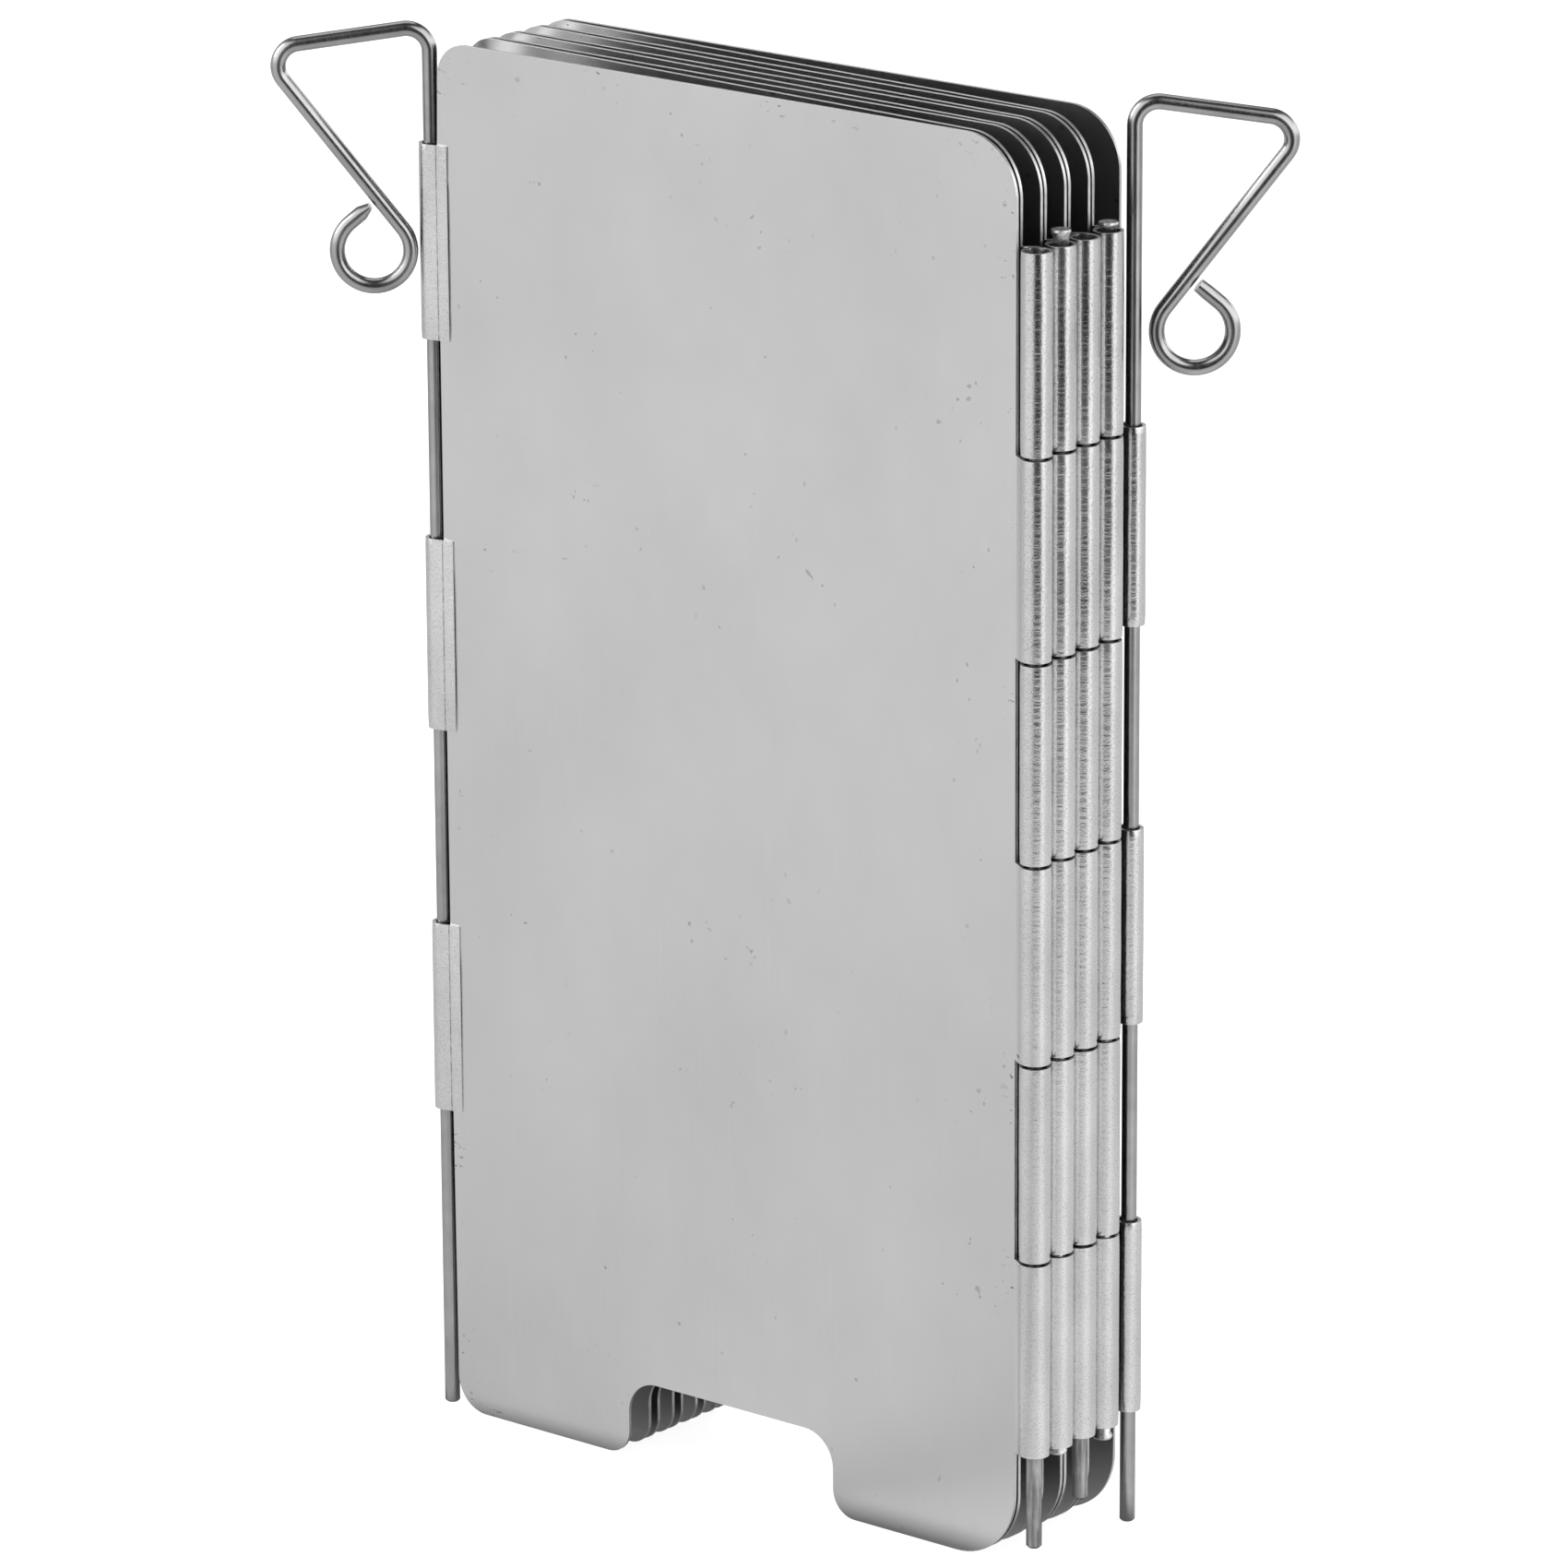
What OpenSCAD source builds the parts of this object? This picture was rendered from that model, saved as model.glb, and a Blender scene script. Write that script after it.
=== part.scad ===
// Folding stove windscreen, shown folded up and standing on the feet of its plates.
// Sheet plates are chained by rolled-knuckle hinges that lie in turn at the right and the left.
// A wire pin runs through each hinge, and a bent wire stake slides in each outer edge.
// X runs along the plates, Y from the front plate to the back one, and Z is up.

/* [Plates] */
// Width of a plate's flat sheet between its two straight edges
plate_w = 119.8; // [90:0.2:160]
// Height of a plate
plate_h = 240; // [190:1:300]
// Thickness of the sheet
sheet_t = 0.6; // [0.4:0.05:0.9]
// Radius of a plate's top corner at the right of the folded pack
top_right_r = 10; // [4:0.5:14]
// Radius of a plate's bottom corner at the right of the folded pack
bottom_right_r = 12; // [4:0.5:14]
// Radius of a plate's two corners at the left of the folded pack
left_corner_r = 6; // [3:0.5:12]
// Angle by which each outer plate is left swung open when the pack is folded
outer_swing = 0.96; // [0.6:0.02:3]

/* [Vent notch] */
// Width of the notch that lets air in at the bottom
notch_w = 44; // [24:1:60]
// Height of the notch
notch_h = 14; // [10:0.5:16]
// Radius of the notch's two upper corners
notch_corner_r = 6; // [2:0.5:9]
// Radius of the corners where the notch meets the feet
foot_corner_r = 4.5; // [1:0.5:5]

/* [Hinges] */
// Number of knuckles in one hinge, shared in turn by its two plates
knuckle_rows = 6; // [4:2:8]
// Plain edge below the lowest knuckle
margin_below = 20; // [15:0.5:30]
// Plain edge above the highest knuckle
margin_above = 17.2; // [15:0.1:30]
// End gap between two neighbouring knuckles
knuckle_gap = 0.4; // [0.2:0.1:1]
// Outer diameter of a rolled hinge knuckle
knuckle_od = 5.2; // [4.8:0.1:5.5]
// Distance from a hinge's axis to the straight edges of its plates
axis_reach = 3.5; // [3.3:0.1:5]
// Gap between the faces of two plates at the hinge that joins them
face_gap = 0.3; // [0.2:0.05:0.6]
// Spacing of the hinge columns on one side of the folded pack
column_pitch = 6; // [5.9:0.1:8]
// How much thinner the sheet is drawn in a knuckle's tab than in the plate
tab_thinning = 0.02; // [0.02:0.01:0.1]
// Angle left open between a roll's free end and the sheet it came from
seam_angle = 34; // [24:1:60]

/* [Hinge pins] */
// Diameter of the pin wire
pin_d = 2.6; // [2:0.1:3]
// Length of a long pin, whose lower end can be pushed into the ground
spike_len = 212; // [190:1:218]
// Height of the lower ends of the long pins that have slipped lowest
spike_low = 4; // [1:0.5:8]
// Height of the lower ends of the other long pins
spike_high = 9; // [4:0.5:13]
// Chamfer at both ends of a long pin
spike_chamfer = 0.4; // [0.1:0.1:0.8]
// How far a headed pin stands out above the top knuckle
head_above = 2.2; // [2:0.1:4]
// How far a headed pin stands out below the lowest knuckle
head_below = 1.2; // [1.2:0.1:3]
// How much lower the headed pins beside the outer plates sit than the other headed pins
head_slip = 1; // [0:0.1:1.2]
// Diameter of a pin's hammered head
head_d = 3.3; // [3.1:0.1:3.6]
// Thickness of a pin's hammered head
head_t = 1.1; // [0.6:0.1:1.4]
// Length of the pinch that holds a pin in a knuckle
pinch_len = 6; // [3:0.5:12]
// Clearance all round a pin in its pinch
pinch_clear = 0.05; // [0.02:0.01:0.1]

/* [Ground stakes] */
// Diameter of the stake wire
wire_d = 2.6; // [2.2:0.1:2.8]
// Clearance all round a stake in its knuckles
wire_clear = 0.25; // [0.1:0.05:0.4]
// Distance from a stake's axis to the straight edge of its plate
stake_reach = 2.3; // [2.2:0.1:4]
// Distance from a stake's axis back to the middle of its plate's sheet
stake_offset = 0.6; // [0.3:0.1:1]
// Length of the flat flap that ends a stake's knuckle on the front of its plate
flap_len = 2; // [1:0.1:4]
// Gap between that flap and the plate
flap_gap = 0.1; // [0.05:0.05:0.2]
// Height of a stake from its tip to the top of its handle
stake_h = 242.5; // [220:0.5:320]
// Height of the stakes' tips above the ground
stake_tip = 0.5; // [0:0.5:6]
// Chamfer round a stake's tip
tip_chamfer = 0.3; // [0.1:0.1:0.8]
// How far the handle reaches out from the rod, to the middle of the wire
handle_reach = 25; // [20:0.2:34]
// Droop of the handle's arm below level
arm_droop = 8; // [0:1:20]
// Bend radius between the rod and the arm, to the middle of the wire
rod_bend_r = 3.8; // [3:0.1:6]
// Bend radius at the outer end of the arm, to the middle of the wire
arm_bend_r = 3.8; // [2:0.1:5]
// How much thinner the wire is drawn in a bend than in a straight run
bend_thinning = 0.04; // [0.02:0.01:0.2]
// Radius of the handle's ring, to the middle of the wire
ring_r = 6.1; // [5:0.1:8]
// Depth of the ring's centre below the top of the handle
ring_drop = 38.8; // [34:0.2:50]
// Gap between the ring and the knuckle beside it
ring_gap = 0.2; // [0.2:0.05:1]
// Straight tail that ends the ring
tail_len = 4.4; // [1:0.1:4.4]
// Direction where the ring ends and the tail starts, from level
tail_angle = 50; // [50:1:66]
// Turn of both handles away from the plates
handle_turn = 38.5; // [20:0.5:70]

/* [Hidden] */
$fn = 64;
plate_count = 9;

aluminium = [0.76, 0.76, 0.75];
pin_steel = [0.55, 0.55, 0.54];
stake_steel = [0.42, 0.41, 0.40];
cut = 1;
run_lap = 0.1;

// Hinge columns: number 0 holds the left stake and the last number holds the right stake.
// Odd columns lie at the right and even ones at the left.
axis_offset = (sheet_t + face_gap) / 2;
axis_u = plate_w / 2 + axis_reach;
column_x = sqrt(axis_u * axis_u + axis_offset * axis_offset - column_pitch * column_pitch / 16);
plate_tilt = atan(column_pitch / (4 * column_x)) - atan(axis_offset / axis_u);
row_h = (plate_h - margin_below - margin_above) / knuckle_rows;
rows_top = plate_h - margin_above;
knuckle_len = row_h - knuckle_gap;
stake_knuckle_od = wire_d + 2 * (wire_clear + sheet_t);
stake_u = plate_w / 2 + stake_reach;
outer_tilt = plate_tilt + outer_swing;

// Both stakes lie behind their plates, so the pack is moved to bring its middle to the origin.
pack_shift = stake_offset * [sin(outer_tilt), -cos(outer_tilt), 0];

function toward(angle) = [cos(angle), sin(angle)];
function column_side(i) = i % 2 == 1 ? 1 : -1;
function column_y(i) = (i - plate_count / 2) * column_pitch / 2;
function plate_y(k) = (column_y(k - 1) + column_y(k)) / 2;
function row_z(row) = rows_top - row * row_h + knuckle_gap / 2;

// Sheet plates

module corner_cut(r) {
    difference() {
        translate([-cut, -cut])
            square(r + cut);
        translate([r, r])
            circle(r);
    }
}

module notch_outline() {
    difference() {
        translate([-notch_w / 2, -cut])
            square([notch_w, notch_h + cut]);
        for (side = [0, 1])
            mirror([side, 0])
                translate([-notch_w / 2, notch_h])
                    mirror([0, 1])
                        corner_cut(notch_corner_r);
    }
    for (side = [0, 1])
        mirror([side, 0])
            translate([-notch_w / 2, 0])
                mirror([1, 0])
                    corner_cut(foot_corner_r);
}

// Even plates face the other way, so their own left and right sides trade corners.
function lies_left(k, side) = (k + side) % 2 == 1;
function bottom_r(k, side) = lies_left(k, side) ? left_corner_r : bottom_right_r;
function top_r(k, side) = lies_left(k, side) ? left_corner_r : top_right_r;

module plate_outline(k) {
    difference() {
        translate([-plate_w / 2, 0])
            square([plate_w, plate_h]);
        for (side = [0, 1])
            mirror([side, 0]) {
                translate([-plate_w / 2, 0])
                    corner_cut(bottom_r(k, side));
                translate([-plate_w / 2, plate_h])
                    mirror([0, 1])
                        corner_cut(top_r(k, side));
            }
        notch_outline();
    }
}

module plate_sheet(k) {
    translate([0, sheet_t / 2, 0])
        rotate([90, 0, 0])
            linear_extrude(sheet_t)
                plate_outline(k);
}

// Profile of a hinge knuckle about its own axis. The sheet comes from the left, bends to the front,
// runs straight until it touches the roll, and wraps round until only the seam is open.
module hinge_profile() {
    mid_r = (knuckle_od - sheet_t) / 2;
    root = [-axis_reach, -axis_offset];
    bend = asin(mid_r / norm(root)) - atan(axis_offset / axis_reach);
    touch = -90 - bend;
    open_ring(knuckle_od, touch - seam_angle, touch);
    tab(root, -bend, mid_r);
}

// Profile of a stake's knuckle about the stake's axis. The sheet bends to the back, wraps round the
// outer side to the front, and comes back to lie flat on the front of the plate.
module stake_profile() {
    mid_r = (stake_knuckle_od - sheet_t) / 2;
    root = [-stake_reach, -stake_offset];
    rise = asin(mid_r / norm(root)) + atan(stake_offset / stake_reach);
    flap_root = root - [0, sheet_t + flap_gap];
    dip = atan(-flap_root.y / stake_reach) - asin(mid_r / norm(flap_root));
    open_ring(stake_knuckle_od, 90 + rise, 270 + dip);
    tab(root, rise, mid_r);
    tab(flap_root, dip, mid_r, flap_len);
}

// Roll of sheet about the origin, open from one angle to another.
module open_ring(od, from, to) {
    reach = od / cos((to - from) / 4);
    difference() {
        circle(d = od);
        circle(d = od - 2 * sheet_t);
        polygon([
            [0, 0],
            reach * toward(from),
            reach * toward((from + to) / 2),
            reach * toward(to)
        ]);
    }
}

// Strip of sheet that lies flat up to its root, bends there by an angle and runs on into the roll.
module tab(root, bend, mid_r, flat = sheet_t) {
    run = sqrt(root * root - mid_r * mid_r) + run_lap;
    half_t = (sheet_t - tab_thinning) / 2;
    mitre = half_t / cos(bend / 2) * toward(90 + bend / 2);
    tab_end = root + run * toward(bend);
    across = half_t * toward(90 + bend);
    polygon([
        root + [-flat, -half_t],
        root - mitre,
        tab_end - across,
        tab_end + across,
        root + mitre,
        root + [-flat, half_t]
    ]);
}

module knuckle(row) {
    translate([0, 0, row_z(row)])
        linear_extrude(knuckle_len)
            children();
}

// The pinch closes the roll's bore down on the pin in the middle of a knuckle.
module pinch_ring(row) {
    translate([0, 0, row_z(row) + (knuckle_len - pinch_len) / 2])
        difference() {
            cylinder(d = knuckle_od - sheet_t, h = pinch_len);
            translate([0, 0, -cut])
                cylinder(d = pin_d + 2 * pinch_clear, h = pinch_len + 2 * cut);
        }
}

// A plate's own knuckles lie at its leading edge in even rows, and at its trailing edge in odd rows.
module leading_knuckles() {
    translate([axis_u, axis_offset, 0]) {
        for (row = [2 : 2 : knuckle_rows])
            knuckle(row)
                hinge_profile();
        for (row = [2, knuckle_rows])
            pinch_ring(row);
    }
}

module trailing_knuckles() {
    translate([-axis_u, -axis_offset, 0])
        rotate([0, 0, 180])
            for (row = [1 : 2 : knuckle_rows])
                knuckle(row)
                    hinge_profile();
}

// A stake's knuckles lie in every second row of an outer plate's free edge.
module stake_knuckles(first_row) {
    translate([stake_u, stake_offset, 0])
        for (row = [first_row : 2 : knuckle_rows])
            knuckle(row)
                stake_profile();
}

module plate(k) {
    color(aluminium)
        on_plate(k) {
            plate_sheet(k);
            if (k == plate_count)
                stake_knuckles(2);
            else
                leading_knuckles();
            if (k == 1)
                mirror([1, 0, 0])
                    stake_knuckles(1);
            else
                trailing_knuckles();
        }
}

module on_plate(k) {
    translate(pack_shift)
        swung(k)
            translate([0, plate_y(k), 0])
                facing(k)
                    rotate([0, 0, plate_tilt])
                        children();
}

// An outer plate is swung a little about the hinge that joins it to the pack.
module swung(k) {
    if (k == 1)
        about_column(1)
            children();
    else if (k == plate_count)
        about_column(plate_count - 1)
            children();
    else
        children();
}

module about_column(i) {
    hinge = [column_side(i) * column_x, column_y(i), 0];
    translate(hinge)
        rotate([0, 0, outer_swing])
            translate(-hinge)
                children();
}

module facing(k) {
    if (k % 2 == 0)
        mirror([1, 0, 0])
            children();
    else
        children();
}

// Hinge pins

module hinge_pin(i) {
    color(pin_steel)
        translate(pack_shift + [column_side(i) * column_x, column_y(i), 0])
            if (is_spike(i))
                spike(i);
            else
                headed_pin(i);
}

// Every second hinge of a side has a long pin, and the pack looks the same turned half round.
function is_spike(i) = i % 4 == (i % 2 == 1 ? 1 : 0);
function spike_tip(i) = i == 1 || i == plate_count - 1 ? spike_low : spike_high;

module spike(i) {
    translate([0, 0, spike_tip(i)])
        rotate_extrude()
            polygon([
                [0, 0],
                [pin_d / 2 - spike_chamfer, 0],
                [pin_d / 2, spike_chamfer],
                [pin_d / 2, spike_len - spike_chamfer],
                [pin_d / 2 - spike_chamfer, spike_len],
                [0, spike_len]
            ]);
}

function slipped(i) = i == 2 || i == plate_count - 2;

module headed_pin(i) {
    slip = slipped(i) ? head_slip : 0;
    low = margin_below - head_below - slip;
    high = rows_top + head_above - slip;
    translate([0, 0, low])
        cylinder(d = pin_d, h = high - low);
    translate([0, 0, low])
        pin_head();
    translate([0, 0, high])
        mirror([0, 0, 1])
            pin_head();
}

// A head is a flat disc whose rim flares out from the wire and is rounded over at its end.
module pin_head() {
    flare = (head_d - pin_d) / 2;
    rotate_extrude()
        polygon([
            [0, 0],
            [pin_d / 2 - flare, 0],
            [head_d / 2, 2 * flare],
            [pin_d / 2, head_t],
            [0, head_t]
        ]);
}

// Ground stakes, drawn in the plane of the handle: x outward from the rod and y up.
// The wire is one chain: each piece draws itself along y and carries the next one at its end.
// A straight run laps over the thinner ends of the bends beside it.

module straight(len) {
    translate([0, -run_lap, 0])
        rotate([-90, 0, 0])
            cylinder(d = wire_d, h = len + 2 * run_lap);
    translate([0, len, 0])
        children();
}

module bend_left(r, sweep) {
    translate([-r, 0, 0]) {
        rotate_extrude(angle = sweep)
            translate([r, 0])
                circle(d = wire_d - bend_thinning);
        rotate([0, 0, sweep])
            translate([r, 0, 0])
                children();
    }
}

module bend_right(r, sweep) {
    mirror([1, 0, 0])
        bend_left(r, sweep)
            mirror([1, 0, 0])
                children();
}

ring_centre = [
    stake_knuckle_od / 2 + ring_gap + wire_d / 2 + ring_r,
    stake_h - ring_drop
];
rod_centre = [rod_bend_r, stake_h - wire_d / 2 - rod_bend_r];
arm_start = rod_centre + rod_bend_r * toward(90 - arm_droop);
arm_end_x = handle_reach - arm_bend_r;
arm_line_y = arm_start.y - (arm_end_x - arm_start.x) * tan(arm_droop);
arm_centre = [arm_end_x, arm_line_y - arm_bend_r / cos(arm_droop)];
arm_end = arm_centre + arm_bend_r * toward(90 - arm_droop);

// The diagonal touches the arm's bend on its outer side and the ring on its inner side.
centres = ring_centre - arm_centre;
cross_over = asin((arm_bend_r + ring_r) / norm(centres));
diagonal_angle = atan2(centres.y, centres.x) - cross_over;
diagonal_start = arm_centre + arm_bend_r * toward(diagonal_angle + 90);
diagonal_end = ring_centre + ring_r * toward(diagonal_angle - 90);

module stake_wire() {
    rotate([90, 0, 0]) {
        rod();
        translate([0, rod_centre.y, 0])
            bend_right(rod_bend_r, 90 + arm_droop)
                straight(norm(arm_end - arm_start))
                    bend_right(arm_bend_r, -arm_droop - diagonal_angle)
                        straight(norm(diagonal_end - diagonal_start))
                            bend_left(ring_r, tail_angle + 90 - diagonal_angle)
                                straight(tail_len);
    }
}

module rod() {
    rotate([-90, 0, 0])
        rotate_extrude()
            polygon([
                [0, 0],
                [wire_d / 2 - tip_chamfer, 0],
                [wire_d / 2, tip_chamfer],
                [wire_d / 2, rod_centre.y + run_lap],
                [0, rod_centre.y + run_lap]
            ]);
}

module stake_right() {
    color(stake_steel)
        on_plate(plate_count)
            translate([stake_u, stake_offset, stake_tip])
                rotate([0, 0, handle_turn])
                    stake_wire();
}

module stake_left() {
    color(stake_steel)
        on_plate(1)
            translate([-stake_u, stake_offset, stake_tip])
                rotate([0, 0, 180 + handle_turn])
                    stake_wire();
}

for (k = [1 : plate_count])
    plate(k);
for (i = [1 : plate_count - 1])
    hinge_pin(i);
stake_left();
stake_right();
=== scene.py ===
"""Looks of a folding stove windscreen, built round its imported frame."""

import math

import bmesh
import bpy
from mathutils import Matrix, Vector, noise


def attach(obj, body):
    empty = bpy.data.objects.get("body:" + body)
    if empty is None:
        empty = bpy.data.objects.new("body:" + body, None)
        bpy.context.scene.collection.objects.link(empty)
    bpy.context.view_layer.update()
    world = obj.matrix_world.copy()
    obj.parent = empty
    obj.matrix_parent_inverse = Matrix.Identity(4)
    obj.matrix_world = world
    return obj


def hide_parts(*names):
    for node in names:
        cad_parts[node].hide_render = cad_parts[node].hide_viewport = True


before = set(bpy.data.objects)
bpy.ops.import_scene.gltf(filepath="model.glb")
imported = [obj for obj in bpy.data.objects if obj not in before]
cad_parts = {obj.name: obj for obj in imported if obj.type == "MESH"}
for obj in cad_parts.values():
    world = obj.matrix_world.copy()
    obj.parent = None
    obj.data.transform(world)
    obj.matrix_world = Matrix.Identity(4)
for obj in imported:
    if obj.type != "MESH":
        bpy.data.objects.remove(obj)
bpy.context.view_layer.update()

MM = 0.001
SAME_SPOT = 0.001 * MM

# Sizes of the sheet plates and their hinges, as in the part's source
PLATES = 9
PLATE_W = 119.8 * MM
PLATE_H = 240 * MM
SHEET_T = 0.6 * MM
TOP_RIGHT_R = 10 * MM
BOTTOM_RIGHT_R = 12 * MM
LEFT_CORNER_R = 6 * MM
OUTER_SWING = math.radians(0.96)
NOTCH_W = 44 * MM
NOTCH_H = 14 * MM
NOTCH_CORNER_R = 6 * MM
FOOT_CORNER_R = 4.5 * MM
KNUCKLE_ROWS = 6
MARGIN_BELOW = 20 * MM
MARGIN_ABOVE = 17.2 * MM
KNUCKLE_GAP = 0.4 * MM
KNUCKLE_OD = 5.2 * MM
STAKE_KNUCKLE_OD = 4.3 * MM
AXIS_REACH = 3.5 * MM
STAKE_REACH = 2.3 * MM
STAKE_OFFSET = 0.6 * MM
FLAP_LEN = 2 * MM
FLAP_GAP = 0.1 * MM
FACE_GAP = 0.3 * MM
COLUMN_PITCH = 6 * MM
SEAM_ANGLE = math.radians(34)

AXIS_OFFSET = (SHEET_T + FACE_GAP) / 2
AXIS_U = PLATE_W / 2 + AXIS_REACH
STAKE_U = PLATE_W / 2 + STAKE_REACH
COLUMN_X = math.sqrt(AXIS_U**2 + AXIS_OFFSET**2 - (COLUMN_PITCH / 4) ** 2)
PLATE_TILT = math.atan(COLUMN_PITCH / (4 * COLUMN_X)) - math.atan(AXIS_OFFSET / AXIS_U)
ROW_H = (PLATE_H - MARGIN_BELOW - MARGIN_ABOVE) / KNUCKLE_ROWS
KNUCKLE_LEN = ROW_H - KNUCKLE_GAP
ROWS_TOP = PLATE_H - MARGIN_ABOVE
OUTER_TILT = PLATE_TILT + OUTER_SWING
PACK_SHIFT = STAKE_OFFSET * Vector((math.sin(OUTER_TILT), -math.cos(OUTER_TILT), 0))

# Sizes of the pins and stakes, as in the part's source
PIN_D = 2.6 * MM
SPIKE_LEN = 212 * MM
SPIKE_LOW = 4 * MM
SPIKE_HIGH = 9 * MM
SPIKE_CHAMFER = 0.4 * MM
HEAD_ABOVE = 2.2 * MM
HEAD_BELOW = 1.2 * MM
HEAD_SLIP = 1 * MM
HEAD_D = 3.3 * MM
HEAD_T = 1.1 * MM
WIRE_D = 2.6 * MM
STAKE_H = 242.5 * MM
STAKE_TIP = 0.5 * MM
TIP_CHAMFER = 0.3 * MM
HANDLE_REACH = 25 * MM
ARM_DROOP = math.radians(8)
ROD_BEND_R = 3.8 * MM
ARM_BEND_R = 3.8 * MM
RING_R = 6.1 * MM
RING_DROP = 38.8 * MM
RING_GAP = 0.2 * MM
TAIL_LEN = 4.4 * MM
TAIL_ANGLE = math.radians(50)
HANDLE_TURN = math.radians(38.5)

# Marks of the making, and painted shade in the stake knuckles' creases, which the looks alone have
RIM_SOFTENING = 0.2 * MM
CREASE_W = 0.2 * MM
# Strength of the painted shade along the crease between each stake knuckle's roll and flap
CREASE_SHADE = 1.0
LIP_LEN = 0.9 * MM
LIP_SHARE = 0.4
DENT_DEPTH = 0.03 * MM
DENT_LEN = 7 * MM
DENTS_ROUND = 1.2
END_REACH = 1 * MM
END_PINCH = 0.06 * MM
END_DRAW = 0.1 * MM
NICK_REACH = 4 * MM
HEAD_DISH = 0.12 * MM
HEAD_HALF_DISH = 0.05 * MM
CHISEL_LEN = 1.8 * MM
CHISEL_SHARE = 0.45
BLUNT_SHARE = 0.92

# Fineness of the new meshes
WIDE_CORNER_STEPS = 16
CORNER_STEPS = 12
FOOT_CORNER_STEPS = 10
RIM_STEPS = 3
RIM_ANGLE = math.radians(50)
ROLL_STEPS = 40
ROLL_CUTS = 20
TURN_STEPS = 32
WIRE_SIDES = 28
BEND_STEP = math.radians(6)
FEWEST_BEND_STEPS = 6
SHARP_ANGLE = math.radians(35)
FLOOR_SIDES = 96


# Mesh helpers


def only(kind, geom):
    return [g for g in geom if isinstance(g, kind)]


def verts_of(edges):
    return list({v for e in edges for v in e.verts})


def new_piece(name, bm, materials):
    """Makes a smooth-shaded object of a finished bmesh, at the origin."""
    for f in bm.faces:
        f.smooth = True
    mesh = bpy.data.meshes.new(name)
    bm.to_mesh(mesh)
    bm.free()
    piece = bpy.data.objects.new(name, mesh)
    bpy.context.scene.collection.objects.link(piece)
    for material in materials:
        mesh.materials.append(material)
    return piece


def draw_out(bm, edges, vec):
    """Extrudes a row or ring of edges by vec and returns the new edges."""
    grown = bmesh.ops.extrude_edge_only(bm, edges=edges)["geom"]
    bmesh.ops.translate(bm, verts=only(bmesh.types.BMVert, grown), vec=vec)
    return only(bmesh.types.BMEdge, grown)


def roll_round(bm, edges, centre, axis, angle, steps):
    """Spins a row or ring of edges about an axis and returns the last edges."""
    spun = bmesh.ops.spin(
        bm, geom=verts_of(edges) + edges, cent=centre, axis=axis, angle=angle, steps=steps,
        use_duplicate=False,
    )
    return only(bmesh.types.BMEdge, spun["geom_last"])


# Finishes


class Shading:
    """Node helpers that the finishes and the studio share."""

    def __init__(self, tree):
        self.nodes = tree.nodes
        self.links = tree.links

    def feed(self, socket, value):
        """Sets a socket to a number, or links another socket to it."""
        if isinstance(value, (int, float)):
            socket.default_value = value
        else:
            self.links.new(value, socket)

    def ranged(self, value, given, wanted):
        """Maps value from the range given to the range wanted; any end may be a socket."""
        node = self.nodes.new("ShaderNodeMapRange")
        names = ("Value", "From Min", "From Max", "To Min", "To Max")
        for name, number in zip(names, (value, *given, *wanted)):
            self.feed(node.inputs[name], number)
        return node.outputs["Result"]

    def joined(self, operation, a, b):
        node = self.nodes.new("ShaderNodeMath")
        node.operation = operation
        self.feed(node.inputs[0], a)
        self.feed(node.inputs[1], b)
        return node.outputs[0]

    def parts(self, vector):
        split = self.nodes.new("ShaderNodeSeparateXYZ")
        self.links.new(vector, split.inputs[0])
        return split.outputs


class Finish(Shading):
    """A metal whose colour, roughness and relief come from a few noise patterns."""

    def __init__(self, name):
        self.material = bpy.data.materials.new(name)
        self.material.use_nodes = True
        super().__init__(self.material.node_tree)
        self.shader = self.nodes["Principled BSDF"]
        self.shader.inputs["Metallic"].default_value = 1.0
        self.place = self.nodes.new("ShaderNodeTexCoord").outputs["Object"]

    def pattern(self, scale, detail=2.0, rough=0.5):
        """Noise over Object coordinates; scale is in waves per metre along x, y and z."""
        mapping = self.nodes.new("ShaderNodeMapping")
        mapping.inputs["Scale"].default_value = scale
        self.links.new(self.place, mapping.inputs["Vector"])
        tex = self.nodes.new("ShaderNodeTexNoise")
        tex.inputs["Scale"].default_value = 1.0
        tex.inputs["Detail"].default_value = detail
        tex.inputs["Roughness"].default_value = rough
        self.links.new(mapping.outputs["Vector"], tex.inputs["Vector"])
        return tex.outputs["Fac"]

    def painted(self, name):
        """A value that the mesh carries at its points."""
        node = self.nodes.new("ShaderNodeAttribute")
        node.attribute_name = name
        return node.outputs["Fac"]

    def shade(self, value, dark, light):
        """Colours the metal from a dark grey to a light one by value."""
        ramp = self.nodes.new("ShaderNodeValToRGB")
        for mark, grey in zip(ramp.color_ramp.elements, (dark, light)):
            mark.color = (grey, grey, grey, 1)
        self.links.new(value, ramp.inputs["Fac"])
        self.links.new(ramp.outputs["Color"], self.shader.inputs["Base Color"])

    def roughen(self, value):
        self.links.new(value, self.shader.inputs["Roughness"])

    def relief(self, *layers):
        """Each layer is a height and its depth in metres; the last one is on top."""
        normal = None
        for height, depth in layers:
            bump = self.nodes.new("ShaderNodeBump")
            bump.inputs["Strength"].default_value = 1.0
            bump.inputs["Distance"].default_value = depth
            self.links.new(height, bump.inputs["Height"])
            if normal:
                self.links.new(normal, bump.inputs["Normal"])
            normal = bump.outputs["Normal"]
        self.links.new(normal, self.shader.inputs["Normal"])


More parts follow.
